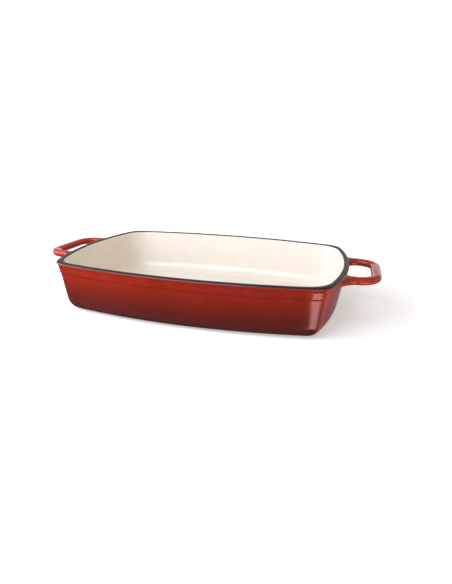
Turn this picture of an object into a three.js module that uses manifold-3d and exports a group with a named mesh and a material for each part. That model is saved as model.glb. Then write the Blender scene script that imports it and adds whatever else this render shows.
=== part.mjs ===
// Enamelled cast iron baking dish with a loop handle at each end.
// Millimetres, +Z up, +X along the dish. The origin is the middle of the underside, on the table.
// Sizes are those of the finished enamel surface, and the bare iron lies one coat inside it.
import * as THREE from 'three';
import { toCreasedNormals } from 'three/addons/utils/BufferGeometryUtils.js';
import Module from 'manifold-3d';

// Overall size of the dish without its handles
const RIM_LENGTH = 332;
const RIM_WIDTH = 237;
const DISH_HEIGHT = 59;

// Plan outline: bowed sides and ends that run into rounded corners
const SIDE_BOW_RADIUS = 656;
const END_BOW_RADIUS = 326;
const RIM_CORNER_RADIUS = 23;
const BASE_CORNER_RADIUS = 8; // the tightest that the corners get
const MOUTH_CORNER_RADIUS = 30;
const FLOOR_CORNER_RADIUS = 12;

// Wall section
const WALL_THICKNESS = 5;
const FLOOR_THICKNESS = 5;
const WALL_LEAN = 10; // how far the wall comes in from the rim to the table
const BASE_EDGE_RADIUS = 18;
const FLOOR_EDGE_RADIUS = 15;
const RIM_OUTSIDE_RADIUS = 2.2;
const RIM_INSIDE_RADIUS = 1.2;
const RIM_LIP = 1; // how far the rim stands out from the wall
const LIP_FLARE_DEGREES = 45; // how far from upright the wall turns out to the lip
const COLLAR_HEIGHT = 12.5;
const COLLAR_STEP = 0.6;
const COLLAR_STEP_HEIGHT = 1.5;

// Enamel coats
const ENAMEL_THICKNESS = 0.5;
const BOND_GAP = 0.1;
const RED_EDGE_DEGREES = 40; // how far the red climbs round the rim's outer edge
const CREAM_EDGE_DEGREES = 15; // how far the cream climbs round its inner edge

// Loop handles
const HANDLE_REACH = 35;
const HANDLE_SPAN = 84; // between the middles of the two arms
const HANDLE_BEND_RADIUS = 20;
const HANDLE_DROP = 2; // from the rim down to the tops of the handles
const GRIP_WIDTH = 11;
const GRIP_HEIGHT = 8.5;
const ROOT_WIDTH = 31;
const ROOT_HEIGHT = 10.2;
const FLARE_LENGTH = 15;
const GRIP_ROUNDNESS = 0.7; // 1 is an ellipse, and less is a squarer section

// Facets
const SIDE_STEPS = 4;
const CORNER_STEPS = 5;
const END_STEPS = 3;
const FILLET_STEPS = 5;
const RIM_EDGE_STEPS = 3;
const HANDLE_STEPS = 32;
const GRIP_FACETS = 12;
const CUT_OVERRUN = 5; // how far a cutting solid runs past what it cuts

// The lean as a slope, and what a distance square to the wall measures across it
const LEAN_SLOPE = WALL_LEAN / DISH_HEIGHT;
const LEAN_ANGLE = Math.atan(LEAN_SLOPE);
const LEAN_STRETCH = Math.hypot(1, LEAN_SLOPE);
const QUARTER_TURN = Math.PI / 2;

// The flare out to the lip, and the rim's breadth from the lip to the mouth
const FLARE_TURN = THREE.MathUtils.degToRad(LIP_FLARE_DEGREES);
const FLARE_SLOPE = Math.tan(FLARE_TURN);
const RIM_BREADTH = RIM_LIP + WALL_THICKNESS;

// Depths below the finished surface
const FINISH = 0;
const COAT_BACK = ENAMEL_THICKNESS;
const IRON = ENAMEL_THICKNESS + BOND_GAP;

// Turns round the rim's edges: where the red and the cream end, and where the dark band has its edges
const RED_TURN = THREE.MathUtils.degToRad(RED_EDGE_DEGREES);
const CREAM_TURN = THREE.MathUtils.degToRad(CREAM_EDGE_DEGREES);
const BAND_OUTSIDE_TURN = RED_TURN + BOND_GAP / (RIM_OUTSIDE_RADIUS - ENAMEL_THICKNESS);
const BAND_INSIDE_TURN = CREAM_TURN + BOND_GAP / (RIM_INSIDE_RADIUS - ENAMEL_THICKNESS);

// Corner of the plan outline: a circle that touches the side bow and the end bow from inside
function cornerCentre(sideCentre, sideDistance, endCentre, endDistance) {
  const between = endCentre.clone().sub(sideCentre);
  const spacing = between.length();
  const along = (sideDistance ** 2 - endDistance ** 2 + spacing ** 2) / (2 * spacing);
  const across = Math.sqrt(sideDistance ** 2 - along ** 2);
  const direction = between.divideScalar(spacing);
  const outward = new THREE.Vector2(direction.y, -direction.x);
  return sideCentre.clone().addScaledVector(direction, along).addScaledVector(outward, across);
}

function arcPoints(centre, radius, from, to, steps) {
  return new THREE.ArcCurve(centre.x, centre.y, radius, from, to, false).getPoints(steps);
}

// One level of the dish: the rim outline brought in by an inset, as a closed anticlockwise ring
function planRing({ inset, z, cornerRadius }) {
  const sideRadius = SIDE_BOW_RADIUS - inset;
  const endRadius = END_BOW_RADIUS - inset;
  const sideCentre = new THREE.Vector2(0, RIM_WIDTH / 2 - SIDE_BOW_RADIUS);
  const endCentre = new THREE.Vector2(RIM_LENGTH / 2 - END_BOW_RADIUS, 0);
  const centre = cornerCentre(sideCentre, sideRadius - cornerRadius, endCentre, endRadius - cornerRadius);
  const endTurn = centre.clone().sub(endCentre).angle();
  const sideTurn = centre.clone().sub(sideCentre).angle();
  const quarter = [
    ...arcPoints(endCentre, endRadius, 0, endTurn, END_STEPS).slice(0, -1),
    ...arcPoints(centre, cornerRadius, endTurn, sideTurn, CORNER_STEPS).slice(0, -1),
    ...arcPoints(sideCentre, sideRadius, sideTurn, QUARTER_TURN, SIDE_STEPS),
  ];
  const mirrored = quarter.map((point) => new THREE.Vector2(-point.x, point.y)).reverse();
  const half = [...quarter.slice(0, -1), ...mirrored.slice(0, -1)];
  const otherHalf = half.map((point) => point.clone().negate());
  return [...half, ...otherHalf].map((point) => new THREE.Vector3(point.x, point.y, z));
}

// A section's round, as points from one turn to another about a centre; turns start level, facing out
function roundPoints(centre, radius, fromTurn, toTurn, steps, pointAt) {
  const points = [];
  for (let step = 0; step <= steps; step += 1) {
    const turn = THREE.MathUtils.lerp(fromTurn, toTurn, step / steps);
    points.push(pointAt(centre.inset - radius * Math.cos(turn), centre.z + radius * Math.sin(turn)));
  }
  return points;
}

// Outside of the dish, in profile points of inset and height
function collarInset(z) {
  return RIM_LIP + LEAN_SLOPE * (DISH_HEIGHT - z);
}

const BASE_FILLET_CENTRE = {
  inset: collarInset(BASE_EDGE_RADIUS) + COLLAR_STEP + BASE_EDGE_RADIUS * LEAN_STRETCH,
  z: BASE_EDGE_RADIUS,
};
const RIM_OUTSIDE_CENTRE = { inset: RIM_OUTSIDE_RADIUS, z: DISH_HEIGHT - RIM_OUTSIDE_RADIUS };

// The corners are concentric with the rim's, down to the radius of the base's corners
function outsidePoint(inset, z) {
  return { inset, z, cornerRadius: Math.max(RIM_CORNER_RADIUS - inset, BASE_CORNER_RADIUS) };
}

function collarPoint(depth, z) {
  return outsidePoint(collarInset(z) + depth * LEAN_STRETCH, z);
}

// Where the collar's line meets the line of the flare, which runs on into the round of the rim
function flareFoot(depth) {
  const radius = RIM_OUTSIDE_RADIUS - depth;
  const topInset = RIM_OUTSIDE_CENTRE.inset - radius * Math.cos(FLARE_TURN);
  const topDrop = RIM_OUTSIDE_RADIUS + radius * Math.sin(FLARE_TURN);
  const overhang = RIM_LIP + depth * LEAN_STRETCH - topInset;
  const drop = (overhang + FLARE_SLOPE * topDrop) / (FLARE_SLOPE - LEAN_SLOPE);
  return collarPoint(depth, DISH_HEIGHT - drop);
}

function outsideWall(depth) {
  const radius = BASE_EDGE_RADIUS - depth;
  const collarZ = DISH_HEIGHT - COLLAR_HEIGHT;
  const stepFoot = collarPoint(depth, collarZ - COLLAR_STEP_HEIGHT);
  return [
    ...roundPoints(BASE_FILLET_CENTRE, radius, -QUARTER_TURN, -LEAN_ANGLE, FILLET_STEPS, outsidePoint),
    outsidePoint(stepFoot.inset + COLLAR_STEP, stepFoot.z),
    collarPoint(depth, collarZ),
    flareFoot(depth),
  ];
}

function rimOutsideEdge(depth, fromTurn, toTurn) {
  const radius = RIM_OUTSIDE_RADIUS - depth;
  return roundPoints(RIM_OUTSIDE_CENTRE, radius, fromTurn, toTurn, RIM_EDGE_STEPS, outsidePoint);
}

// Inside of the dish, where a depth below the finish runs outwards into the wall
function mouthInset(z) {
  return collarInset(z) + WALL_THICKNESS;
}

const FLOOR_FILLET_Z = FLOOR_THICKNESS + FLOOR_EDGE_RADIUS;
const FLOOR_FILLET_CENTRE = {
  inset: mouthInset(FLOOR_FILLET_Z) + FLOOR_EDGE_RADIUS * LEAN_STRETCH,
  z: FLOOR_FILLET_Z,
};

function insidePoint(inset, z) {
  const share = (inset - RIM_BREADTH) / (FLOOR_FILLET_CENTRE.inset - RIM_BREADTH);
  const cornerRadius = THREE.MathUtils.lerp(MOUTH_CORNER_RADIUS, FLOOR_CORNER_RADIUS, share);
  return { inset, z, cornerRadius };
}

function mouthPoint(depth, z) {
  return insidePoint(mouthInset(z) - depth * LEAN_STRETCH, z);
}

function insideWall(depth) {
  const radius = FLOOR_EDGE_RADIUS + depth;
  return roundPoints(FLOOR_FILLET_CENTRE, radius, -QUARTER_TURN, -LEAN_ANGLE, FILLET_STEPS, insidePoint);
}

// Here a turn starts level, facing in
function rimInsideEdge(depth, fromTurn, toTurn) {
  const centre = mouthPoint(RIM_INSIDE_RADIUS, DISH_HEIGHT - RIM_INSIDE_RADIUS);
  const radius = RIM_INSIDE_RADIUS - depth;
  return roundPoints(centre, radius, Math.PI - fromTurn, Math.PI - toTurn, RIM_EDGE_STEPS, insidePoint);
}

// A skin through a row of rings. It is capped at both ends, or joined end to end when closed.
function loft(rings, closed = false) {
  const count = rings[0].length;
  const points = rings.flat();
  const indices = [];
  const bands = closed ? rings.length : rings.length - 1;
  for (let band = 0; band < bands; band += 1) {
    const here = band * count;
    const next = ((band + 1) % rings.length) * count;
    for (let step = 0; step < count; step += 1) {
      const turn = (step + 1) % count;
      indices.push(here + step, here + turn, next + turn);
      indices.push(here + step, next + turn, next + step);
    }
  }
  if (!closed) {
    const firstCentre = points.push(ringCentre(rings[0])) - 1;
    const lastCentre = points.push(ringCentre(rings.at(-1))) - 1;
    const last = (rings.length - 1) * count;
    for (let step = 0; step < count; step += 1) {
      const turn = (step + 1) % count;
      indices.push(firstCentre, turn, step);
      indices.push(lastCentre, last + step, last + turn);
    }
  }
  const geometry = new THREE.BufferGeometry().setFromPoints(points);
  geometry.setIndex(indices);
  return geometry;
}

function ringCentre(ring) {
  const sum = new THREE.Vector3();
  ring.forEach((point) => sum.add(point));
  return sum.divideScalar(ring.length);
}

function loftProfile(profile, closed = false) {
  return loft(profile.map(planRing), closed);
}

// Booleans
const wasm = await Module();
wasm.setup();

function toSolid(geometry) {
  const vertProperties = new Float32Array(geometry.getAttribute('position').array);
  const triVerts = new Uint32Array(geometry.getIndex().array);
  return new wasm.Manifold(new wasm.Mesh({ numProp: 3, vertProperties, triVerts }));
}

function toGeometry(solid) {
  const { vertProperties, triVerts } = solid.getMesh();
  const geometry = new THREE.BufferGeometry();
  geometry.setAttribute('position', new THREE.BufferAttribute(vertProperties, 3));
  geometry.setIndex(new THREE.BufferAttribute(triVerts, 1));
  return geometry;
}

// Loop handle at the +X end, as a tube that starts and ends inside the end wall
const HANDLE_TOP_Z = DISH_HEIGHT - HANDLE_DROP;

function endWallX(y) {
  const radius = END_BOW_RADIUS - collarInset(HANDLE_TOP_Z - GRIP_HEIGHT / 2);
  return RIM_LENGTH / 2 - END_BOW_RADIUS + Math.sqrt(radius ** 2 - y ** 2);
}

function handlePath() {
  const armY = HANDLE_SPAN / 2;
  const barX = RIM_LENGTH / 2 + HANDLE_REACH - GRIP_WIDTH / 2;
  const startX = endWallX(armY + ROOT_WIDTH / 2) - WALL_THICKNESS;
  const bendX = barX - HANDLE_BEND_RADIUS;
  const bendY = armY - HANDLE_BEND_RADIUS;
  const path = new THREE.Path();
  path.moveTo(startX, -armY);
  path.lineTo(bendX, -armY);
  path.absarc(bendX, -bendY, HANDLE_BEND_RADIUS, -QUARTER_TURN, 0, false);
  path.lineTo(barX, bendY);
  path.absarc(bendX, bendY, HANDLE_BEND_RADIUS, 0, QUARTER_TURN, false);
  path.lineTo(startX, armY);
  return path;
}

// The arms get wider and deeper towards their roots in the wall
function flared(rootSize, gripSize, x) {
  const out = THREE.MathUtils.clamp((x - endWallX(HANDLE_SPAN / 2)) / FLARE_LENGTH, 0, 1);
  return THREE.MathUtils.lerp(rootSize, gripSize, 1 - (1 - out) ** 2);
}

function roundedUnit(value) {
  return Math.sign(value) * Math.abs(value) ** GRIP_ROUNDNESS;
}

function handleRing(path, share, depth) {
  const place = path.getPointAt(share);
  const tangent = path.getTangentAt(share);
  const side = new THREE.Vector3(-tangent.y, tangent.x, 0);
  const width = flared(ROOT_WIDTH, GRIP_WIDTH, place.x);
  const height = flared(ROOT_HEIGHT, GRIP_HEIGHT, place.x);
  const middleZ = HANDLE_TOP_Z - height / 2;
  const halfWidth = width / 2 - depth;
  const halfHeight = height / 2 - depth;
  const ring = [];
  for (let facet = 0; facet < GRIP_FACETS; facet += 1) {
    const turn = (2 * Math.PI * facet) / GRIP_FACETS;
    const z = middleZ + halfHeight * roundedUnit(Math.sin(turn));
    const point = new THREE.Vector3(place.x, place.y, z);
    ring.push(point.addScaledVector(side, halfWidth * roundedUnit(Math.cos(turn))));
  }
  return ring;
}

function handleTube(depth) {
  const path = handlePath();
  const rings = [];
  for (let step = 0; step <= HANDLE_STEPS; step += 1) {
    rings.push(handleRing(path, step / HANDLE_STEPS, depth));
  }
  return loft(rings);
}

// Each end's tube: the part is the same after half a turn about the upright axis
function handleTubes(depth) {
  const right = handleTube(depth);
  const left = right.clone().rotateZ(Math.PI);
  return [toSolid(right), toSolid(left)];
}

// The casting: the pan and both handles in one piece of iron
function ironCasting() {
  const shell = [...outsideWall(IRON), ...rimOutsideEdge(IRON, -FLARE_TURN, QUARTER_TURN)];
  const mouth = [...insideWall(IRON), ...rimInsideEdge(IRON, LEAN_ANGLE, QUARTER_TURN)];
  const cavity = toSolid(loftProfile([...mouth, { ...mouth.at(-1), z: DISH_HEIGHT + CUT_OVERRUN }]));
  const [right, left] = handleTubes(IRON);
  return toGeometry(toSolid(loftProfile(shell)).add(right).add(left).subtract(cavity));
}

// Red coat of the walls, open where the handle roots come through
function exteriorEnamel() {
  const face = (depth) => [...outsideWall(depth), ...rimOutsideEdge(depth, -FLARE_TURN, RED_TURN)];
  const coat = toSolid(loftProfile([...face(FINISH), ...face(COAT_BACK).reverse()], true));
  const [right, left] = handleTubes(COAT_BACK);
  return toGeometry(coat.subtract(right).subtract(left));
}

// Red coat of a handle, from wall to wall
function handleEnamel() {
  const wallFace = [...outsideWall(-BOND_GAP), ...rimOutsideEdge(-BOND_GAP, -FLARE_TURN, RED_TURN)];
  const wallFinish = toSolid(loftProfile(wallFace));
  const [core] = handleTubes(COAT_BACK);
  return toGeometry(toSolid(handleTube(FINISH)).subtract(core).subtract(wallFinish));
}

// Cream coat of the floor and the inside of the walls
function interiorEnamel() {
  const face = (depth) => [...insideWall(depth), ...rimInsideEdge(depth, LEAN_ANGLE, CREAM_TURN)];
  return loftProfile([...face(COAT_BACK), ...face(FINISH).reverse()]);
}

// Dark coat over the rim, between the red and the cream
function rimEnamel() {
  const face = (depth) => [
    ...rimOutsideEdge(depth, BAND_OUTSIDE_TURN, QUARTER_TURN),
    ...rimInsideEdge(depth, BAND_INSIDE_TURN, QUARTER_TURN).reverse(),
  ];
  return loftProfile([...face(FINISH), ...face(COAT_BACK).reverse()], true);
}

// Dark coat of the flat underside, inside the foot of the red coat
function undersideEnamel() {
  const edge = BASE_FILLET_CENTRE.inset + BOND_GAP;
  return loftProfile([outsidePoint(edge, 0), outsidePoint(edge, ENAMEL_THICKNESS)]);
}

// Materials
const IRON_FINISH = { color: 0x3b3a3a, roughness: 0.75, metalness: 0.9 };
const RED_FINISH = { color: 0x9a2a1f, roughness: 0.2, metalness: 0 };
const CREAM_FINISH = { color: 0xf3e8da, roughness: 0.25, metalness: 0 };
const RIM_FINISH = { color: 0x4c4746, roughness: 0.5, metalness: 0 };
const UNDERSIDE_FINISH = { color: 0x45201d, roughness: 0.35, metalness: 0 };

function piece(name, geometry, finish) {
  const mesh = new THREE.Mesh(toCreasedNormals(geometry), new THREE.MeshStandardMaterial(finish));
  mesh.name = name;
  return mesh;
}

// Assembly
const dish = new THREE.Group();
dish.name = 'baking_dish';
dish.add(piece('iron_casting', ironCasting(), IRON_FINISH));
dish.add(piece('exterior_enamel', exteriorEnamel(), RED_FINISH));
dish.add(piece('interior_enamel', interiorEnamel(), CREAM_FINISH));
dish.add(piece('rim_enamel', rimEnamel(), RIM_FINISH));
dish.add(piece('underside_enamel', undersideEnamel(), UNDERSIDE_FINISH));
dish.add(piece('right_handle_enamel', handleEnamel(), RED_FINISH));
const leftHandleEnamel = piece('left_handle_enamel', handleEnamel(), RED_FINISH);
leftHandleEnamel.rotation.z = Math.PI;
dish.add(leftHandleEnamel);

export default dish;
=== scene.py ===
"""Enamelled cast iron baking dish: smooth enamel coats, studio light and camera, all in metres."""
import math

import bmesh
import bpy
from mathutils import Matrix, Vector


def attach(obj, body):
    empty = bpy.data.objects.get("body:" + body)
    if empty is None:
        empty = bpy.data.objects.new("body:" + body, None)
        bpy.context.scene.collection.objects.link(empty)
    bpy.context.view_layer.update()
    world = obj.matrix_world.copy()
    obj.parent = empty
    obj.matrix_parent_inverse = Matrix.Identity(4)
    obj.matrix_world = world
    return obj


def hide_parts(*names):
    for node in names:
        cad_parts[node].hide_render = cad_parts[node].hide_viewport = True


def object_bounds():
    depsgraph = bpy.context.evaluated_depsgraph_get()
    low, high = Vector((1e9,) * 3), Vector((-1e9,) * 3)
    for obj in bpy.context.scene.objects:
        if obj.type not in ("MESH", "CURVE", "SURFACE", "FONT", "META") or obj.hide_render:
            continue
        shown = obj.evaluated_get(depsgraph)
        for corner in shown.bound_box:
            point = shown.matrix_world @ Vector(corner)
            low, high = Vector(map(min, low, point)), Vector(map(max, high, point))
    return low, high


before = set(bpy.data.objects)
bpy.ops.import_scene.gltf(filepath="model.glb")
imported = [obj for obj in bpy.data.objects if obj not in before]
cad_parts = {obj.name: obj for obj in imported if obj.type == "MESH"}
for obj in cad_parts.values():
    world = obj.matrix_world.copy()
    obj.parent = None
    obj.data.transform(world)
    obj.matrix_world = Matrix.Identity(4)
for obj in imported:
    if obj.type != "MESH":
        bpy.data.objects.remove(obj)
CAD_LOW, CAD_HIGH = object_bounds()

MM = 0.001
QUARTER_TURN = math.pi / 2

# Size of the dish, and its plan of bowed sides and ends that run into rounded corners
DISH_HEIGHT = CAD_HIGH.z
RIM_LENGTH = 332 * MM
RIM_WIDTH = 237 * MM
SIDE_BOW_RADIUS = 656 * MM
END_BOW_RADIUS = 326 * MM
RIM_CORNER_RADIUS = 23 * MM
BASE_CORNER_RADIUS = 8 * MM
MOUTH_CORNER_RADIUS = 30 * MM
FLOOR_CORNER_RADIUS = 12 * MM

# Wall section
WALL_THICKNESS = 5 * MM
FLOOR_THICKNESS = 5 * MM
WALL_LEAN = 10 * MM
BASE_EDGE_RADIUS = 18 * MM
FLOOR_EDGE_RADIUS = 15 * MM
RIM_OUTSIDE_RADIUS = 2.2 * MM
RIM_INSIDE_RADIUS = 1.2 * MM
RIM_LIP = 1 * MM
LIP_FLARE = math.radians(45)
COLLAR_HEIGHT = 12.5 * MM
COLLAR_STEP = 0.6 * MM
COLLAR_STEP_HEIGHT = 1.5 * MM
ENAMEL_THICKNESS = 0.5 * MM
BOND_GAP = 0.1 * MM
RED_TURN = math.radians(40)
CREAM_TURN = math.radians(15)

# Loop handles
HANDLE_SPAN = 84 * MM
HANDLE_BEND_RADIUS = 20 * MM
HANDLE_DROP = 2 * MM
GRIP_WIDTH = 11 * MM
GRIP_HEIGHT = 8.5 * MM
ROOT_WIDTH = 31 * MM
ROOT_HEIGHT = 10.2 * MM
FLARE_LENGTH = 15 * MM

LEAN_SLOPE = WALL_LEAN / DISH_HEIGHT
LEAN_ANGLE = math.atan(LEAN_SLOPE)
LEAN_STRETCH = math.hypot(1, LEAN_SLOPE)
COLLAR_Z = DISH_HEIGHT - COLLAR_HEIGHT
STEP_FOOT_Z = COLLAR_Z - COLLAR_STEP_HEIGHT
RIM_OUTSIDE_Z = DISH_HEIGHT - RIM_OUTSIDE_RADIUS
RIM_INSIDE_Z = DISH_HEIGHT - RIM_INSIDE_RADIUS
BAND_OUTSIDE_TURN = RED_TURN + BOND_GAP / (RIM_OUTSIDE_RADIUS - ENAMEL_THICKNESS)
BAND_INSIDE_TURN = CREAM_TURN + BOND_GAP / (RIM_INSIDE_RADIUS - ENAMEL_THICKNESS)
SIDE_CENTRE = Vector((0, RIM_WIDTH / 2 - SIDE_BOW_RADIUS))
END_CENTRE = Vector((RIM_LENGTH / 2 - END_BOW_RADIUS, 0))


def mix(low, high, share):
    return low + (high - low) * share


# Plan rings

def corner_centre(side_distance, end_distance):
    """Centre of the circle that touches the side bow and the end bow from inside."""
    between = END_CENTRE - SIDE_CENTRE
    spacing = between.length
    along = (side_distance ** 2 - end_distance ** 2 + spacing ** 2) / (2 * spacing)
    across = math.sqrt(side_distance ** 2 - along ** 2)
    direction = between / spacing
    return SIDE_CENTRE + direction * along + Vector((direction.y, -direction.x)) * across


def turn_of(vector):
    return math.atan2(vector.y, vector.x)


def arc(centre, radius, turns):
    return [centre + radius * Vector((math.cos(turn), math.sin(turn))) for turn in turns]


def even_steps(start, end, steps):
    return [mix(start, end, step / steps) for step in range(steps + 1)]


def open_steps(start, end, steps):
    """Even steps without the last one, where the next arc starts."""
    return even_steps(start, end, steps)[:-1]


def plan_ring(inset, z, corner_radius, end_ys, steps):
    """The rim outline brought in by an inset, as an anticlockwise ring that starts at +X.

    The columns stand at the given distances from the middle of the end, then at even steps.
    """
    side_radius = SIDE_BOW_RADIUS - inset
    end_radius = END_BOW_RADIUS - inset
    centre = corner_centre(side_radius - corner_radius, end_radius - corner_radius)
    end_turn = turn_of(centre - END_CENTRE)
    side_turn = turn_of(centre - SIDE_CENTRE)
    fixed_turns = [math.asin(y / end_radius) for y in end_ys]
    tail_steps, corner_steps, side_steps = steps
    tail_turns = open_steps(fixed_turns[-1], end_turn, tail_steps)
    quarter = [
        *arc(END_CENTRE, end_radius, fixed_turns[:-1] + tail_turns),
        *arc(centre, corner_radius, open_steps(end_turn, side_turn, corner_steps)),
        *arc(SIDE_CENTRE, side_radius, open_steps(side_turn, QUARTER_TURN, side_steps)),
    ]
    top = Vector((0, RIM_WIDTH / 2 - inset))
    mirrored = [Vector((-point.x, point.y)) for point in reversed(quarter[1:])]
    half = [*quarter, top, *mirrored]
    ring = half + [-point for point in half]
    return [Vector((point.x, point.y, z)) for point in ring]


# Profiles, in points of inset, height and corner radius

def round_points(centre_inset, centre_z, radius, turns, point_at):
    """Points of a section's round; turns start level, facing out of the dish."""
    return [
        point_at(centre_inset - radius * math.cos(turn), centre_z + radius * math.sin(turn))
        for turn in turns
    ]


def collar_inset(z):
    return RIM_LIP + LEAN_SLOPE * (DISH_HEIGHT - z)


BASE_FILLET_INSET = collar_inset(BASE_EDGE_RADIUS) + COLLAR_STEP + BASE_EDGE_RADIUS * LEAN_STRETCH
FLOOR_FILLET_Z = FLOOR_THICKNESS + FLOOR_EDGE_RADIUS
RIM_BREADTH = RIM_LIP + WALL_THICKNESS

# The flare from the collar out to the lip, which runs on into the round of the rim
FLARE_SLOPE = math.tan(LIP_FLARE)
FLARE_TOP_Z = RIM_OUTSIDE_Z - RIM_OUTSIDE_RADIUS * math.sin(LIP_FLARE)
FLARE_TOP_INSET = RIM_OUTSIDE_RADIUS * (1 - math.cos(LIP_FLARE))
FLARE_OVERHANG = RIM_LIP - FLARE_TOP_INSET
FLARE_DROP = (FLARE_OVERHANG + FLARE_SLOPE * (DISH_HEIGHT - FLARE_TOP_Z)) / (FLARE_SLOPE - LEAN_SLOPE)
FLARE_FOOT_Z = DISH_HEIGHT - FLARE_DROP


def outside_point(inset, z):
    """The corners are concentric with the rim's, down to the radius of the base's corners."""
    return inset, z, max(RIM_CORNER_RADIUS - inset, BASE_CORNER_RADIUS)


def collar_face(z):
    """Inset of the outer face from the collar up to the widest level of the lip."""
    if z <= FLARE_FOOT_Z:
        return collar_inset(z)
    if z <= FLARE_TOP_Z:
        return FLARE_TOP_INSET + FLARE_SLOPE * (FLARE_TOP_Z - z)
    return RIM_OUTSIDE_RADIUS - math.sqrt(RIM_OUTSIDE_RADIUS ** 2 - (z - RIM_OUTSIDE_Z) ** 2)


def mouth_inset(z):
    return collar_inset(z) + WALL_THICKNESS


FLOOR_FILLET_INSET = mouth_inset(FLOOR_FILLET_Z) + FLOOR_EDGE_RADIUS * LEAN_STRETCH


def inside_point(inset, z):
    share = (inset - RIM_BREADTH) / (FLOOR_FILLET_INSET - RIM_BREADTH)
    return inset, z, mix(MOUTH_CORNER_RADIUS, FLOOR_CORNER_RADIUS, share)


def mouth_point(depth, z):
    return inside_point(mouth_inset(z) - depth * LEAN_STRETCH, z)


def rim_outside_edge(depth, start, end, steps):
    radius = RIM_OUTSIDE_RADIUS - depth
    turns = even_steps(start, end, steps)
    return round_points(RIM_OUTSIDE_RADIUS, RIM_OUTSIDE_Z, radius, turns, outside_point)


def rim_inside_edge(depth, start, end, steps):
    """Here a turn starts level, facing in."""
    inset = mouth_point(RIM_INSIDE_RADIUS, RIM_INSIDE_Z)[0]
    turns = even_steps(math.pi - start, math.pi - end, steps)
    return round_points(inset, RIM_INSIDE_Z, RIM_INSIDE_RADIUS - depth, turns, inside_point)


# Mesh helpers

def add_ring(mesh, points):
    return [mesh.verts.new(point) for point in points]


def bridge(mesh, lower, upper, left_out=()):
    """Faces from one ring to the next, apart from the steps that are left out."""
    count = len(lower)
    for step in range(count):
        if step not in left_out:
            turn = (step + 1) % count
            mesh.faces.new((lower[step], lower[turn], upper[turn], upper[step]))


def make_object(name, mesh, material):
    for face in mesh.faces:
        face.smooth = True
    data = bpy.data.meshes.new(name)
    mesh.to_mesh(data)
    mesh.free()
    data.materials.append(material)
    piece = bpy.data.objects.new(name, data)
    bpy.context.collection.objects.link(piece)
    return piece


def finish_piece(piece, slot, *nodes):
    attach(piece, "root")
    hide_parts(*nodes)


def thicken(piece):
    """A coat is drawn as its outer face, and gets its thickness towards the iron."""
    solidify = piece.modifiers.new("coat", "SOLIDIFY")
    solidify.thickness = ENAMEL_THICKNESS
    solidify.offset = -1


# Red coat: one skin over the walls and both handles, smoothed from a coarse cage

ARM_Y = HANDLE_SPAN / 2
ROOT_COLUMNS = 4
ROOT_FIRST_COLUMN = 4
ROOT_YS = [ARM_Y + ROOT_WIDTH * (step / ROOT_COLUMNS - 0.5) for step in range(ROOT_COLUMNS + 1)]
ROOT_MARGIN = 5 * MM

# Columns of the cage along an end wall: to the root's margin, over the root and past it
CAGE_END_YS = [
    *[(ROOT_YS[0] - ROOT_MARGIN) * step / (ROOT_FIRST_COLUMN - 1) for step in range(ROOT_FIRST_COLUMN)],
    *ROOT_YS,
    ROOT_YS[-1] + ROOT_MARGIN,
]

# Steps of a ring's quarter: from there to the corner, round the corner, and to the middle of the side
CAGE_STEPS = (4, 8, 12)
CAGE_FILLET_STEPS = 8
CAGE_WALL_STEPS = 5
CAGE_SMOOTHING = 2

# Heights of the cage's rows over a root, the first and last a little inside its outline
HANDLE_TOP_Z = DISH_HEIGHT - HANDLE_DROP
ROOT_EASE = 0.4 * MM
ROOT_ZS = (
    HANDLE_TOP_Z - ROOT_HEIGHT + ROOT_EASE,
    HANDLE_TOP_Z - ROOT_HEIGHT / 2,
    FLARE_FOOT_Z,
    FLARE_TOP_Z,
    HANDLE_TOP_Z - ROOT_EASE,
)
HANDLE_TOP_TURN = math.asin((HANDLE_TOP_Z - RIM_OUTSIDE_Z) / RIM_OUTSIDE_RADIUS)
CAGE_EDGE_STEPS = 4

# Rows this close to the collar's step keep its edges crisp when the cage is smoothed
STEP_EASE = 0.35 * MM


def red_profile():
    """Rows of the cage from the foot to the rim, and the indices of the rows at the handle roots."""
    fillet = round_points(
        BASE_FILLET_INSET, BASE_EDGE_RADIUS, BASE_EDGE_RADIUS,
        even_steps(-QUARTER_TURN, -LEAN_ANGLE, CAGE_FILLET_STEPS), outside_point)
    fillet_top = fillet[-1][1]
    wall_top = STEP_FOOT_Z - STEP_EASE
    wall_zs = even_steps(fillet_top, wall_top, CAGE_WALL_STEPS)[1:]
    step_half = COLLAR_Z - COLLAR_STEP_HEIGHT / 2
    rows = [
        *fillet,
        *[outside_point(collar_inset(z) + COLLAR_STEP, z) for z in (*wall_zs, STEP_FOOT_Z)],
        outside_point(collar_inset(step_half) + COLLAR_STEP / 2, step_half),
        *[outside_point(collar_inset(z), z) for z in (COLLAR_Z, COLLAR_Z + STEP_EASE)],
    ]
    root_rows = range(len(rows), len(rows) + len(ROOT_ZS))
    rows += [outside_point(collar_face(z), z) for z in ROOT_ZS]
    rows += rim_outside_edge(0, HANDLE_TOP_TURN, RED_TURN, CAGE_EDGE_STEPS)
    return rows, root_rows


def end_wall_x(y, z):
    """Where the outer face of the +X end wall is."""
    radius = END_BOW_RADIUS - collar_face(z)
    return END_CENTRE.x + math.sqrt(radius ** 2 - y ** 2)


ARM_ROOT_X = end_wall_x(ARM_Y, HANDLE_TOP_Z - GRIP_HEIGHT / 2)
BAR_X = CAD_HIGH.x - GRIP_WIDTH / 2
BEND_X = BAR_X - HANDLE_BEND_RADIUS
BEND_Y = ARM_Y - HANDLE_BEND_RADIUS

# Sections of the cage on an arm, out from the wall, then round a bend, then part of the way along the bar
ARM_STATIONS = (1.2 * MM, 3.2 * MM, 6 * MM, 9 * MM, 12 * MM)
BEND_STEPS = 7
BAR_SPLIT = 3

# A section keeps clear of the wall by this share of its way out
ROOT_CLEARANCE = 0.6

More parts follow.
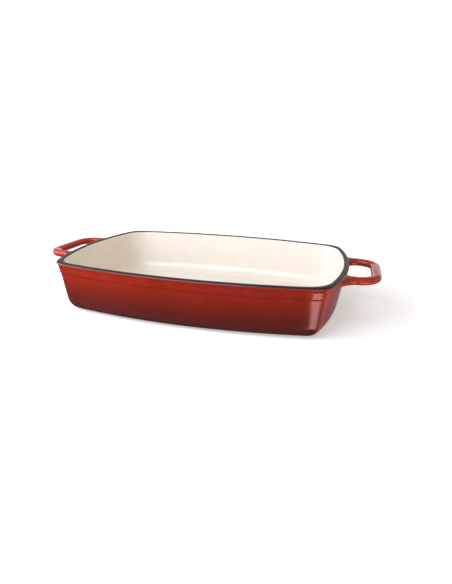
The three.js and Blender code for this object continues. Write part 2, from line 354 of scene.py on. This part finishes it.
# Degrees round a section, as many as a root has vertices
SECTION_TURNS = (0, 14, 27, 40, 64, 90, 116, 140, 153, 166, 180, 218, 244, 270, 296, 322)

# Below 1 a section is squarer than an ellipse; the swell makes up for what smoothing takes off
SECTION_ROUNDNESS = 0.78
SECTION_SWELL = 1.01


def handle_stations():
    """Places and headings along the +X handle, from its root on the -Y side to its other root."""
    half = [(Vector((ARM_ROOT_X + out, -ARM_Y)), 0) for out in ARM_STATIONS]
    bend_centre = Vector((BEND_X, -BEND_Y))
    for heading in even_steps(0, QUARTER_TURN, BEND_STEPS):
        across = Vector((math.sin(heading), -math.cos(heading)))
        half.append((bend_centre + HANDLE_BEND_RADIUS * across, heading))
    half.append((Vector((BAR_X, -BEND_Y / BAR_SPLIT)), QUARTER_TURN))
    mirrored = [(Vector((place.x, -place.y)), math.pi - heading) for place, heading in reversed(half)]
    return half + mirrored


def flared(root_size, grip_size, x):
    out = min(max((x - ARM_ROOT_X) / FLARE_LENGTH, 0), 1)
    return mix(root_size, grip_size, 1 - (1 - out) ** 2)


def rounded_unit(value):
    return math.copysign(abs(value) ** SECTION_ROUNDNESS, value)


def handle_section(place, heading):
    """A ring of the cage round the handle. Close to the wall it keeps clear of the wall's face."""
    side = Vector((-math.sin(heading), math.cos(heading)))
    half_width = flared(ROOT_WIDTH, GRIP_WIDTH, place.x) / 2 * SECTION_SWELL
    half_height = flared(ROOT_HEIGHT, GRIP_HEIGHT, place.x) / 2
    middle_z = HANDLE_TOP_Z - half_height
    clearance = (place.x - ARM_ROOT_X) * ROOT_CLEARANCE
    points = []
    for degrees in SECTION_TURNS:
        turn = math.radians(degrees)
        spot = place + side * half_width * rounded_unit(math.cos(turn))
        z = middle_z + half_height * rounded_unit(math.sin(turn))
        points.append(Vector((max(spot.x, end_wall_x(spot.y, z) + clearance), spot.y, z)))
    return points


def root_loop(rings, root_rows, inner_column, outer_column):
    """Vertices round a handle root on the wall, in the order of a section's turns."""
    low, *sides, high = (rings[row] for row in root_rows)
    direction = 1 if outer_column > inner_column else -1
    columns = range(inner_column, outer_column + direction, direction)
    inner = [side[inner_column] for side in sides]
    over = [high[column] for column in columns]
    outer = [side[outer_column] for side in reversed(sides)]
    under = [low[column] for column in reversed(columns)]
    return inner + over + outer + under


def red_coat(material):
    mesh = bmesh.new()
    rows, root_rows = red_profile()
    rings = [add_ring(mesh, plan_ring(*row, CAGE_END_YS, CAGE_STEPS)) for row in rows]
    count = len(rings[0])
    near = ROOT_FIRST_COLUMN
    far = ROOT_FIRST_COLUMN + ROOT_COLUMNS
    half_way = count // 2
    # Each end's middle column, to count down and up from, and the sign of the +X handle's places there
    ends = [(count, 0, 1), (half_way, half_way, -1)]
    left_out = set()
    for before, after, _ in ends:
        left_out.update(range(before - far, before - near))
        left_out.update(range(after + near, after + far))
    for row in range(len(rings) - 1):
        in_root = row in root_rows[:-1]
        bridge(mesh, rings[row], rings[row + 1], left_out if in_root else ())
    for before, after, sign in ends:
        loops = [root_loop(rings, root_rows, before - near, before - far)]
        for place, heading in handle_stations():
            section = handle_section(place, heading)
            loops.append(add_ring(mesh, [Vector((sign * p.x, sign * p.y, p.z)) for p in section]))
        loops.append(root_loop(rings, root_rows, after + near, after + far))
        for start, end in zip(loops, loops[1:]):
            bridge(mesh, start, end)
    unused = [vert for vert in mesh.verts if not vert.link_faces]
    bmesh.ops.delete(mesh, geom=unused, context="VERTS")
    piece = make_object("red_enamel_coat", mesh, material)
    subdivision = piece.modifiers.new("smooth", "SUBSURF")
    subdivision.levels = CAGE_SMOOTHING
    subdivision.render_levels = CAGE_SMOOTHING
    thicken(piece)
    finish_piece(piece, "red_enamel", "exterior_enamel", "right_handle_enamel", "left_handle_enamel")


# Cream coat, dark rim and underside

FINE_END_YS = (0,)
FINE_STEPS = (20, 16, 30)
FINE_FILLET_STEPS = 16
FINE_WALL_STEPS = 10
FINE_ROUND_STEPS = 8

# Rings of the flat floor, in shares of its outline
FLOOR_RINGS = (0.8, 0.55, 0.3, 0.1)


def fine_ring(mesh, row):
    return add_ring(mesh, plan_ring(*row, FINE_END_YS, FINE_STEPS))


def cream_coat(material):
    mesh = bmesh.new()
    fillet = round_points(
        FLOOR_FILLET_INSET, FLOOR_FILLET_Z, FLOOR_EDGE_RADIUS,
        even_steps(-LEAN_ANGLE, -QUARTER_TURN, FINE_FILLET_STEPS), inside_point)
    edge = rim_inside_edge(0, CREAM_TURN, LEAN_ANGLE, FINE_ROUND_STEPS)
    edge_foot = edge[-1][1]
    fillet_top = fillet[0][1]
    wall_zs = even_steps(edge_foot, fillet_top, FINE_WALL_STEPS)[1:-1]
    rows = edge + [mouth_point(0, z) for z in wall_zs] + fillet
    rings = [fine_ring(mesh, row) for row in rows]
    floor_edge = [vert.co.copy() for vert in rings[-1]]
    for share in FLOOR_RINGS:
        rings.append(add_ring(mesh, [Vector((p.x * share, p.y * share, p.z)) for p in floor_edge]))
    for upper, lower in zip(rings, rings[1:]):
        bridge(mesh, upper, lower)
    mesh.faces.new(rings[-1])
    piece = make_object("cream_enamel_coat", mesh, material)
    thicken(piece)
    finish_piece(piece, "cream_enamel", "interior_enamel")


def rim_over(depth):
    """Section of the rim's dark coat, from its outer edge over the top to its inner edge."""
    return [
        *rim_outside_edge(depth, BAND_OUTSIDE_TURN, QUARTER_TURN, FINE_ROUND_STEPS),
        *rim_inside_edge(depth, QUARTER_TURN, BAND_INSIDE_TURN, FINE_ROUND_STEPS),
    ]


def rim_coat(material):
    mesh = bmesh.new()
    section = rim_over(0) + rim_over(ENAMEL_THICKNESS)[::-1]
    rings = [fine_ring(mesh, row) for row in section]
    for lower, upper in zip(rings, rings[1:] + rings[:1]):
        bridge(mesh, lower, upper)
    piece = make_object("rim_enamel_coat", mesh, material)
    finish_piece(piece, "rim_enamel", "rim_enamel")


UNDERSIDE_ROUND = 0.2 * MM


def underside_coat(material):
    mesh = bmesh.new()
    edge = BASE_FILLET_INSET + BOND_GAP
    rows = [
        outside_point(edge + UNDERSIDE_ROUND, 0),
        outside_point(edge, UNDERSIDE_ROUND),
        outside_point(edge, ENAMEL_THICKNESS),
    ]
    rings = [fine_ring(mesh, row) for row in rows]
    for lower, upper in zip(rings, rings[1:]):
        bridge(mesh, lower, upper)
    mesh.faces.new(reversed(rings[0]))
    mesh.faces.new(rings[-1])
    piece = make_object("underside_enamel_coat", mesh, material)
    finish_piece(piece, "underside_enamel", "underside_enamel")


# Materials

# A Mix node has sockets of the same names for each kind of data, and these are the ones for colours
MIX_FIRST = 6
MIX_SECOND = 7
MIX_RESULT = 2

# A new stop of a ramp starts half way along it, and is then moved
NEW_STOP = 0.5

# Most of a noise texture lies between these values
NOISE_LOW_HIGH = (0.3, 0.7)


class Nodes:
    """A node tree, with short ways to add what the materials and the world share."""

    def __init__(self, tree, coordinate):
        self.tree = tree
        self.place = self.add("ShaderNodeTexCoord").outputs[coordinate]

    def add(self, kind, **settings):
        node = self.tree.nodes.new(kind)
        for name, value in settings.items():
            setattr(node, name, value)
        return node

    def link(self, source, target):
        self.tree.links.new(source, target)

    def feed(self, socket, value):
        """A socket takes a number, a colour or another node's output."""
        if isinstance(value, tuple):
            socket.default_value = (*value, 1)
        elif isinstance(value, (int, float)):
            socket.default_value = value
        else:
            self.link(value, socket)

    def axes(self):
        node = self.add("ShaderNodeSeparateXYZ")
        self.link(self.place, node.inputs["Vector"])
        return node.outputs["X"], node.outputs["Y"], node.outputs["Z"]

    def remap(self, value, low, high, to_low=0, to_high=1, kind="LINEAR"):
        node = self.add("ShaderNodeMapRange", interpolation_type=kind)
        limits = {"From Min": low, "From Max": high, "To Min": to_low, "To Max": to_high}
        for name, number in limits.items():
            node.inputs[name].default_value = number
        self.link(value, node.inputs["Value"])
        return node.outputs["Result"]

    def maths(self, operation, first, second):
        node = self.add("ShaderNodeMath", operation=operation)
        self.feed(node.inputs[0], first)
        self.feed(node.inputs[1], second)
        return node.outputs["Value"]

    def ramp(self, value, stops):
        node = self.add("ShaderNodeValToRGB")
        elements = node.color_ramp.elements
        while len(elements) < len(stops):
            elements.new(NEW_STOP)
        for element, (position, colour) in zip(elements, stops):
            element.position = position
            element.color = (*colour, 1)
        self.link(value, node.inputs["Fac"])
        return node.outputs["Color"]

    def blend(self, share, first, second, kind="MIX"):
        node = self.add("ShaderNodeMix", data_type="RGBA", blend_type=kind)
        self.feed(node.inputs["Factor"], share)
        self.feed(node.inputs[MIX_FIRST], first)
        self.feed(node.inputs[MIX_SECOND], second)
        return node.outputs[MIX_RESULT]


class Finish(Nodes):
    """A material of the part or the floor."""

    def __init__(self, name):
        self.material = bpy.data.materials.new(name)
        self.material.use_nodes = True
        super().__init__(self.material.node_tree, "Object")
        self.shader = self.tree.nodes["Principled BSDF"]

    def noise(self, size, detail=2.0, roughness=0.5):
        """Noise whose grain is about the given size in metres."""
        node = self.add("ShaderNodeTexNoise")
        node.inputs["Scale"].default_value = 1 / size
        node.inputs["Detail"].default_value = detail
        node.inputs["Roughness"].default_value = roughness
        self.link(self.place, node.inputs["Vector"])
        return node.outputs["Fac"]

    def vary(self, noise, low, high):
        """A noise as a number that runs from low to high."""
        return self.remap(noise, *NOISE_LOW_HIGH, low, high)

    def shade(self, noise, colours):
        """A noise as a colour that runs from the first to the second."""
        return self.ramp(noise, tuple(zip(NOISE_LOW_HIGH, colours)))

    def bump(self, heights):
        """Bumps laid over each other, each a height from 0 to 1 and its depth in metres."""
        normal = None
        for value, depth in heights:
            node = self.add("ShaderNodeBump")
            node.inputs["Strength"].default_value = 1
            node.inputs["Distance"].default_value = depth
            self.link(value, node.inputs["Height"])
            if normal:
                self.link(normal, node.inputs["Normal"])
            normal = node.outputs["Normal"]
        self.link(normal, self.shader.inputs["Normal"])

    def paint(self, colour, roughness):
        self.link(colour, self.shader.inputs["Base Color"])
        self.link(roughness, self.shader.inputs["Roughness"])

    def set(self, **values):
        for name, value in values.items():
            self.shader.inputs[name.replace("_", " ")].default_value = value


# Red of the outside by height: bright under the rim, through the sprayed fade, to maroon at the foot. The
# dip at 0.770, at the height of the collar's step, is painted shade in its crease.
RED_BY_HEIGHT = (
    (0.0, (0.066, 0.0205, 0.0180)),
    (0.12, (0.083, 0.0180, 0.0150)),
    (0.35, (0.115, 0.0140, 0.0090)),
    (0.60, (0.205, 0.0155, 0.0078)),
    (0.755, (0.262, 0.0180, 0.0075)),
    # Painted shade in the crease under the collar's step
    (0.770, (0.208, 0.0145, 0.0070)),
    (0.800, (0.255, 0.0185, 0.0078)),
    (0.95, (0.275, 0.0200, 0.0082)),
)
RED_DRIFT = 1.5 * MM

# Painted light: the red is made brighter towards the -X end, as if lit from that side
PAINTED_SIDE_LIGHT_FROM_TO = (-100 * MM, 0)
PAINTED_SIDE_LIGHT_SHARES = (1.04, 0.89)
CLOUD_SHARES = (0.93, 1.07)

# The handles are a more orange red, which starts at their roots
HANDLE_RED = (0.40, 0.026, 0.009)
HANDLE_FROM_TO = (RIM_LENGTH / 2 - RIM_LIP, RIM_LENGTH / 2 + FLARE_LENGTH)

# Fine dark speckles of the spray, where its noise is high
SPECKLE_COLOUR = (0.045, 0.010, 0.009)
SPECKLE_FROM_TO = (0.52, 0.68)
SPECKLE_SHARE = 0.28

# On the lip the red thins out, and the dark coat under it shows through
RED_THINS_FROM_TO = (RIM_OUTSIDE_Z, RIM_OUTSIDE_Z + RIM_OUTSIDE_RADIUS * math.sin(RED_TURN))
RED_THIN_COLOUR = (0.030, 0.018, 0.017)
RED_THIN_SHARE = 0.75

RED_ROUGHNESS = (0.07, 0.12)
RED_WAVE_DEPTH = 0.10 * MM
RED_PEEL_DEPTH = 0.008 * MM


def red_finish():
    finish = Finish("red_enamel_finish")
    along, _, height = finish.axes()
    drift = finish.vary(finish.noise(40 * MM, detail=3), -RED_DRIFT, RED_DRIFT)
    level = finish.maths("DIVIDE", finish.maths("ADD", height, drift), DISH_HEIGHT)
    red = finish.ramp(level, RED_BY_HEIGHT)
    reach = finish.remap(finish.maths("ABSOLUTE", along, 0), *HANDLE_FROM_TO, kind="SMOOTHSTEP")
    handled = finish.blend(reach, red, HANDLE_RED)
    spray = finish.noise(0.7 * MM, detail=3, roughness=0.6)
    speckles = finish.remap(spray, *SPECKLE_FROM_TO, 0, SPECKLE_SHARE)
    speckled = finish.blend(speckles, handled, SPECKLE_COLOUR)
    thinned = finish.remap(height, *RED_THINS_FROM_TO, 0, RED_THIN_SHARE, kind="SMOOTHSTEP")
    edged = finish.blend(thinned, speckled, RED_THIN_COLOUR)
    cloud = finish.vary(finish.noise(12 * MM, detail=4), *CLOUD_SHARES)
    # Painted light from the -X side: the red brightens towards that end
    painted_side_light = finish.remap(along, *PAINTED_SIDE_LIGHT_FROM_TO, *PAINTED_SIDE_LIGHT_SHARES, kind="SMOOTHSTEP")
    cloud_and_painted_light = finish.maths("MULTIPLY", cloud, painted_side_light)
    roughness = finish.vary(finish.noise(6 * MM, detail=4), *RED_ROUGHNESS)
    finish.paint(finish.blend(1.0, edged, cloud_and_painted_light, "MULTIPLY"), roughness)
    finish.bump((
        (finish.noise(14 * MM), RED_WAVE_DEPTH),
        (finish.noise(1.6 * MM), RED_PEEL_DEPTH),
    ))
    return finish.material


# The roughness of the cream and of the rim stays on its own side of 0.27, because a texture that crosses
# that value leaves pale specks in the renderer's denoising
CREAM_COLOURS = ((0.84, 0.752, 0.622), (0.875, 0.794, 0.670))
CREAM_SPECK_COLOUR = (0.60, 0.50, 0.40)
CREAM_SPECK_FROM_TO = (0.72, 0.80)
CREAM_SPECK_SHARE = 0.08
CREAM_ROUGHNESS = (0.20, 0.26)
CREAM_WAVE_DEPTH = 0.03 * MM
CREAM_PEEL_DEPTH = 0.0015 * MM


def cream_finish():
    finish = Finish("cream_enamel_finish")
    cream = finish.shade(finish.noise(18 * MM, detail=4), CREAM_COLOURS)
    specks = finish.remap(finish.noise(1.1 * MM), *CREAM_SPECK_FROM_TO, 0, CREAM_SPECK_SHARE)
    roughness = finish.vary(finish.noise(5 * MM, detail=3), *CREAM_ROUGHNESS)
    finish.paint(finish.blend(specks, cream, CREAM_SPECK_COLOUR), roughness)
    finish.bump((
        (finish.noise(9 * MM), CREAM_WAVE_DEPTH),
        (finish.noise(1.5 * MM), CREAM_PEEL_DEPTH),
    ))
    return finish.material


RIM_COLOURS = ((0.024, 0.0120, 0.0135), (0.041, 0.0215, 0.0245))
RIM_WEAR_COLOUR = (0.042, 0.032, 0.036)
RIM_WEAR_FROM_TO = (0.55, 0.72)
RIM_WEAR_SHARE = 0.4
RIM_ROUGHNESS = (0.28, 0.36)
RIM_SPECULAR = 0.08
RIM_WAVE_DEPTH = 0.04 * MM
RIM_GRAIN_DEPTH = 0.010 * MM


def rim_finish():
    finish = Finish("rim_enamel_finish")
    grain = finish.noise(0.8 * MM, detail=5, roughness=0.65)
    dark = finish.shade(grain, RIM_COLOURS)
    rubbed = finish.noise(5 * MM, detail=5, roughness=0.6)
    wear = finish.remap(rubbed, *RIM_WEAR_FROM_TO, 0, RIM_WEAR_SHARE)
    finish.paint(finish.blend(wear, dark, RIM_WEAR_COLOUR), finish.vary(grain, *RIM_ROUGHNESS))
    finish.bump((
        (finish.noise(2.5 * MM, detail=3), RIM_WAVE_DEPTH),
        (finish.noise(0.5 * MM, detail=3), RIM_GRAIN_DEPTH),
    ))
    finish.set(Specular_IOR_Level=RIM_SPECULAR)
    return finish.material


UNDERSIDE_COLOURS = ((0.040, 0.012, 0.011), (0.062, 0.017, 0.014))
SCUFF_COLOUR = (0.12, 0.07, 0.06)
SCUFF_FROM_TO = (0.58, 0.72)
SCUFF_SHARE = 0.45
UNDERSIDE_ROUGHNESS = (0.25, 0.55)
UNDERSIDE_WAVE_DEPTH = 0.08 * MM
UNDERSIDE_GRAIN_DEPTH = 0.015 * MM


def underside_finish():
    finish = Finish("underside_enamel_finish")
    maroon = finish.shade(finish.noise(16 * MM, detail=4), UNDERSIDE_COLOURS)
    rubbed = finish.noise(3 * MM, detail=6, roughness=0.7)
    scuffs = finish.remap(rubbed, *SCUFF_FROM_TO, 0, SCUFF_SHARE)
    roughness = finish.remap(scuffs, 0, SCUFF_SHARE, *UNDERSIDE_ROUGHNESS)
    finish.paint(finish.blend(scuffs, maroon, SCUFF_COLOUR), roughness)
    finish.bump((
        (finish.noise(10 * MM), UNDERSIDE_WAVE_DEPTH),
        (finish.noise(1.2 * MM, detail=3), UNDERSIDE_GRAIN_DEPTH),
    ))
    return finish.material


IRON_COLOURS = ((0.030, 0.028, 0.028), (0.060, 0.057, 0.056))
IRON_ROUGHNESS = (0.6, 0.85)
IRON_METALLIC = 0.9
IRON_GRAIN_DEPTH = 0.08 * MM


def iron_finish():
    finish = Finish("iron_finish")
    grain = finish.noise(0.9 * MM, detail=6, roughness=0.7)
    finish.paint(finish.shade(grain, IRON_COLOURS), finish.vary(grain, *IRON_ROUGHNESS))
    finish.bump(((grain, IRON_GRAIN_DEPTH),))
    finish.set(Metallic=IRON_METALLIC)
    return finish.material


# The floor glows, a painted light, up to the white of the background; the glow is weaker near the dish,
# which paints a soft shadow round it
FLOOR_COLOURS = ((0.90, 0.90, 0.895), (0.93, 0.93, 0.925))
FLOOR_CLOUD_SIZE = 0.4
FLOOR_ROUGHNESS = 0.9
FLOOR_SPECULAR = 0.1
FLOOR_GLOW_COLOUR = (1, 1, 1, 1)
FLOOR_GLOW_SPAN = (0.22, 0.65)
FLOOR_GLOW = (0.42, 0.72)


def floor_finish():
    finish = Finish("floor_paint")
    paint = finish.shade(finish.noise(FLOOR_CLOUD_SIZE, detail=3), FLOOR_COLOURS)
    finish.link(paint, finish.shader.inputs["Base Color"])
    distance = finish.add("ShaderNodeVectorMath", operation="LENGTH")
    finish.link(finish.place, distance.inputs[0])
    # Painted light on the floor, with a painted soft shadow near the dish
    glow = finish.remap(distance.outputs["Value"], *FLOOR_GLOW_SPAN, *FLOOR_GLOW, kind="SMOOTHSTEP")
    finish.link(glow, finish.shader.inputs["Emission Strength"])
    finish.set(
        Roughness=FLOOR_ROUGHNESS, Specular_IOR_Level=FLOOR_SPECULAR, Emission_Color=FLOOR_GLOW_COLOUR)
    return finish.material


# Studio

STAGE_RADIUS = 6.0
STAGE_SIDES = 96
BACKDROP_HEIGHT = 5.0

# Light from all round, by the sine of its elevation, in shares of the strength
WORLD_STRENGTH = 2.0
WORLD_BY_HEIGHT = (
    (-0.20, (0.01, 0.01, 0.01)),
    (-0.06, (0.50, 0.49, 0.47)),
    (0.245, (0.50, 0.49, 0.47)),
    (0.275, (0.186, 0.160, 0.126)),
)

# Low windows on the right, which only the glossy walls pick up: one bright and the others faint.
# Each has the degrees that it spans, the fades at both edges, the sine at its top and its colour.
LOW_WINDOW_FOOT = -0.78
LOW_WINDOW_HEIGHT_FADES = (0.08, 0.03)
LOW_WINDOWS = (
    ((-67.3, -17), (1.0, 20), -0.52, (3.4, 1.7, 1.65)),
    ((2, 50), (16, 14), -0.41, (1.0, 0.30, 0.28)),
    ((50, 72), (6, 6), -0.34, (0.27, 0.085, 0.085)),
    ((72, 110), (6, 6), -0.29, (0.13, 0.10, 0.11)),
)

# Softboxes: in front and high up, and on the left
SOFTBOX_SIZE = 0.6
SOFTBOX_DISTANCE = 0.75
SOFTBOX_COLOUR = (0.93, 1.04, 1.28)
SOFTBOXES = (
    ("front_softbox", Vector((-0.25, -0.61, 0.74)), 4.0),
    ("side_softbox", Vector((-0.85, -0.25, 0.45)), 3.1),
)

# Camera: its lens in pixels of the photograph, its angles, and its place beside the line to its target
IMAGE_HEIGHT_PIXELS = 584
FOCAL_PIXELS = 461.98
SENSOR_HEIGHT = 36.0
CAMERA_AZIMUTH = math.radians(14.99)
CAMERA_ELEVATION = math.radians(18.23)
CAMERA_ROLL = math.radians(1.22)
CAMERA_DISTANCE = 575.3 * MM
CAMERA_TARGET = Vector((0, 0, 30 * MM))
CAMERA_RIGHT = 20.2 * MM
CAMERA_UP = -20.3 * MM


def build_stage(material):
    """A floor, and a backdrop round it that only the camera sees, so that light comes in past it."""
    mesh = bmesh.new()
    bmesh.ops.create_circle(mesh, cap_ends=True, segments=STAGE_SIDES, radius=STAGE_RADIUS)
    floor = make_object("studio_floor", mesh, material)
    floor.visible_glossy = False
    mesh = bmesh.new()
    bmesh.ops.create_cone(
        mesh, segments=STAGE_SIDES, radius1=STAGE_RADIUS, radius2=STAGE_RADIUS, depth=BACKDROP_HEIGHT)
    backdrop = make_object("studio_backdrop", mesh, material)
    backdrop.location.z = BACKDROP_HEIGHT / 2
    backdrop.visible_diffuse = False
    backdrop.visible_glossy = False
    backdrop.visible_shadow = False


def window(nodes, value, span, fades):
    """1 where a value is in a span, with soft edges."""
    start, end = span
    start_fade, end_fade = fades
    rise = nodes.remap(value, start - start_fade, start + start_fade, kind="SMOOTHSTEP")
    fall = nodes.remap(value, end - end_fade, end + end_fade, 1, 0, kind="SMOOTHSTEP")
    return nodes.maths("MULTIPLY", rise, fall)


def build_world():
    world = bpy.data.worlds.new("studio")
    bpy.context.scene.world = world
    world.use_nodes = True
    nodes = Nodes(world.node_tree, "Generated")
    x, y, z = nodes.axes()
    stops = [((height + 1) / 2, colour) for height, colour in WORLD_BY_HEIGHT]
    light = nodes.ramp(nodes.remap(z, -1, 1), stops)
    degrees = nodes.maths("MULTIPLY", nodes.maths("ARCTAN2", y, x), math.degrees(1))
    for span, fades, top, colour in LOW_WINDOWS:
        across = window(nodes, degrees, span, fades)
        upward = window(nodes, z, (LOW_WINDOW_FOOT, top), LOW_WINDOW_HEIGHT_FADES)
        light = nodes.blend(nodes.maths("MULTIPLY", across, upward), light, colour, "ADD")
    background = world.node_tree.nodes["Background"]
    nodes.link(light, background.inputs["Color"])
    background.inputs["Strength"].default_value = WORLD_STRENGTH


def aim(thing, place, target):
    thing.location = place
    thing.rotation_euler = (target - place).to_track_quat("-Z", "Y").to_euler()


def build_softboxes():
    middle = Vector((0, 0, DISH_HEIGHT / 2))
    for name, direction, power in SOFTBOXES:
        light = bpy.data.lights.new(name, "AREA")
        light.shape = "SQUARE"
        light.size = SOFTBOX_SIZE
        light.energy = power
        light.color = SOFTBOX_COLOUR
        box = bpy.data.objects.new(name, light)
        bpy.context.collection.objects.link(box)
        aim(box, direction.normalized() * SOFTBOX_DISTANCE, middle)


def build_camera():
    data = bpy.data.cameras.new("camera")
    data.sensor_fit = "VERTICAL"
    data.sensor_height = SENSOR_HEIGHT
    data.lens = SENSOR_HEIGHT * FOCAL_PIXELS / IMAGE_HEIGHT_PIXELS
    camera = bpy.data.objects.new("camera", data)
    bpy.context.collection.objects.link(camera)
    flat = math.cos(CAMERA_ELEVATION)
    forward = Vector((
        -math.sin(CAMERA_AZIMUTH) * flat, math.cos(CAMERA_AZIMUTH) * flat, -math.sin(CAMERA_ELEVATION)))
    level = Vector((math.cos(CAMERA_AZIMUTH), math.sin(CAMERA_AZIMUTH), 0))
    upright = level.cross(forward)
    right = math.cos(CAMERA_ROLL) * level + math.sin(CAMERA_ROLL) * upright
    up = math.cos(CAMERA_ROLL) * upright - math.sin(CAMERA_ROLL) * level
    place = CAMERA_TARGET - forward * CAMERA_DISTANCE + right * CAMERA_RIGHT + up * CAMERA_UP
    camera.matrix_world = Matrix.Translation(place) @ Matrix((right, up, -forward)).transposed().to_4x4()
    bpy.context.scene.camera = camera


def coat_iron():
    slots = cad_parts["iron_casting"].material_slots
    material = iron_finish()
    for slot in slots:
        slot.material = material


red_coat(red_finish())
cream_coat(cream_finish())
rim_coat(rim_finish())
underside_coat(underside_finish())
coat_iron()
build_stage(floor_finish())
build_world()
build_softboxes()
build_camera()
bpy.context.scene.view_settings.view_transform = "Standard"
